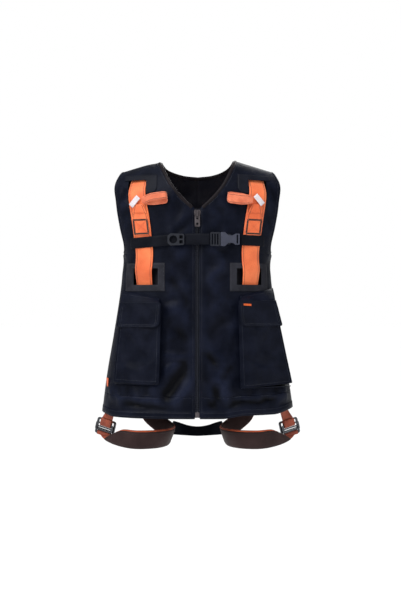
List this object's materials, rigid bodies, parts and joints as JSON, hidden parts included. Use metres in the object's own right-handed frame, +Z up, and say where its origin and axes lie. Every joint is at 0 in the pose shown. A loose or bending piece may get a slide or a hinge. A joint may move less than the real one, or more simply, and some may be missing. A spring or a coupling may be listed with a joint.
{
  "type": "safety harness vest",
  "caption": "Work vest with a fall-arrest harness built in: shoulder, chest and leg webbing, front zip, flapped bellows pockets and a back attachment ring.",
  "frame": {"origin": "midway between the two neck points of the shoulder line, where the wearer's shoulders carry the vest", "axes": "+Z up, -Y towards the wearer's front, +X towards the wearer's left"},
  "size_m": [0.5318, 0.2826, 0.7336],
  "materials": {
    "vest_cloth": "navy-black satin-faced quilted cloth",
    "lining": "dark facing cloth with a faint brown sheen",
    "patch_cloth": "matt black reinforcement cloth",
    "orange_webbing": "orange woven harness webbing",
    "loop_webbing": "lighter orange woven loop webbing",
    "black_webbing": "black woven strap webbing",
    "brown_sleeve": "dark brown padded leg sleeve",
    "label": "plain white woven label",
    "black_plastic": "moulded black nylon",
    "zip_metal": "plated zip metal",
    "zip_teeth": "black moulded zip teeth",
    "harness_steel": "dark plated harness steel",
    "ring_steel": "zinc-plated forged steel"
  },
  "bodies": {
    "vest": {"back_panel": "vest_cloth", "front_panel_left": "vest_cloth", "front_panel_right": "vest_cloth", "pocket_bag_left": "vest_cloth", "pocket_bag_right": "vest_cloth", "flap_seam_left": "vest_cloth", "flap_seam_right": "vest_cloth", "neck_facing": "lining", "armhole_facings": "lining", "dorsal_patch": "patch_cloth", "window_patch_left": "patch_cloth", "window_patch_right": "patch_cloth", "shoulder_patch_left": "patch_cloth", "shoulder_patch_right": "patch_cloth", "zip_tape_left": "patch_cloth", "zip_tape_right": "patch_cloth", "shoulder_web_left": "orange_webbing", "shoulder_web_right": "orange_webbing", "back_web_left": "orange_webbing", "back_web_right": "orange_webbing", "hip_web_left": "orange_webbing", "hip_web_right": "orange_webbing", "side_tab": "orange_webbing", "loop_tail_left": "loop_webbing", "loop_tail_right": "loop_webbing", "loop_tags": "label", "chest_web_left": "black_webbing", "chest_web_right": "black_webbing", "chest_slack": "black_webbing", "web_keeper": "black_plastic", "buckle_socket": "black_plastic", "dorsal_plate": "black_plastic", "zip_box": "zip_metal", "zip_teeth_left": "zip_teeth", "zip_teeth_right": "zip_teeth", "adjuster_left": "harness_steel", "adjuster_right": "harness_steel"},
    "legs": {"leg_web_left": "orange_webbing", "leg_web_right": "orange_webbing", "leg_sleeve_left": "brown_sleeve", "leg_sleeve_right": "brown_sleeve", "drop_web_left": "orange_webbing", "drop_web_right": "orange_webbing", "leg_frame_left": "harness_steel", "leg_frame_right": "harness_steel", "seat_strap": "black_webbing"},
    "leg_plate_left": {"leg_plate_left": "harness_steel"},
    "leg_plate_right": {"leg_plate_right": "harness_steel"},
    "slider": {"zip_slider": "zip_metal"},
    "pull": {"zip_pull": "zip_metal"},
    "flap_left": {"pocket_flap_left": "vest_cloth", "pocket_tab": "orange_webbing"},
    "flap_right": {"pocket_flap_right": "vest_cloth"},
    "loop_left": {"front_loop_left": "loop_webbing"},
    "loop_right": {"front_loop_right": "loop_webbing"},
    "ring": {"dorsal_ring": "ring_steel"},
    "buckle_male": {"buckle_male": "black_plastic"},
    "prong_upper": {"buckle_prong_upper": "black_plastic"},
    "prong_lower": {"buckle_prong_lower": "black_plastic"}
  },
  "joints": [
    {"name": "zip_slide", "type": "slide", "parent": "vest", "child": "slider", "axis": [0, -0.0395, -0.9992], "range_m": [0, 0.474], "deforming": ["zip_teeth_left", "zip_teeth_right"]},
    {"name": "zip_pull_swing", "type": "hinge", "parent": "slider", "child": "pull", "pos_m": [0, -0.12622, -0.1397], "axis": [-1, 0, 0], "range_deg": [0, 165]},
    {"name": "flap_left_lift", "type": "hinge", "parent": "vest", "child": "flap_left", "pos_m": [0.10504, -0.147, -0.36176], "axis": [-0.891, -0.454, 0], "range_deg": [0, 150]},
    {"name": "flap_right_lift", "type": "hinge", "parent": "vest", "child": "flap_right", "pos_m": [-0.09297, -0.14904, -0.36776], "axis": [-0.8988, 0.4384, 0], "range_deg": [0, 150]},
    {"name": "front_loop_left_swing", "type": "hinge", "parent": "vest", "child": "loop_left", "pos_m": [0.141, -0.12063, -0.112], "axis": [0, 0, 1], "range_deg": [0, 95]},
    {"name": "front_loop_right_swing", "type": "hinge", "parent": "vest", "child": "loop_right", "pos_m": [-0.141, -0.12063, -0.112], "axis": [0, 0, -1], "range_deg": [0, 95]},
    {"name": "dorsal_ring_swing", "type": "hinge", "parent": "vest", "child": "ring", "pos_m": [0, 0.11879, -0.152], "axis": [1, 0, 0], "range_deg": [0, 165]},
    {"name": "chest_buckle_pull", "type": "slide", "parent": "vest", "child": "buckle_male", "axis": [-0.9965, -0.0837, 0], "range_m": [0, 0.034], "deforming": ["chest_slack"]},
    {"name": "prong_upper_press", "type": "hinge", "parent": "buckle_male", "child": "prong_upper", "pos_m": [0.05651, -0.13514, -0.1994], "axis": [-0.0837, 0.9965, 0], "range_deg": [0, 7], "stiffness_Nm_per_rad": 0.06},
    {"name": "prong_lower_press", "type": "hinge", "parent": "buckle_male", "child": "prong_lower", "pos_m": [0.05651, -0.13514, -0.2186], "axis": [0.0837, -0.9965, 0], "range_deg": [0, 7], "stiffness_Nm_per_rad": 0.06},
    {"name": "legs_swing", "type": "hinge", "parent": "vest", "child": "legs", "pos_m": [0, -0.02, -0.612], "axis": [1, 0, 0], "range_deg": [-12, 12], "deforming": ["leg_web_left", "leg_web_right", "drop_web_left", "drop_web_right"]},
    {"name": "leg_plate_left_tilt", "type": "hinge", "parent": "legs", "child": "leg_plate_left", "pos_m": [0.23858, -0.02523, -0.67806], "axis": [-0.8419, -0.5011, -0.2004], "range_deg": [0, 60]},
    {"name": "leg_plate_right_tilt", "type": "hinge", "parent": "legs", "child": "leg_plate_right", "pos_m": [-0.23858, -0.02523, -0.67806], "axis": [-0.8419, 0.5011, 0.2004], "range_deg": [0, 60]}
  ],
  "couplings": [
    {"joint": "prong_lower_press", "follows": "prong_upper_press", "ratio": 1}
  ]
}
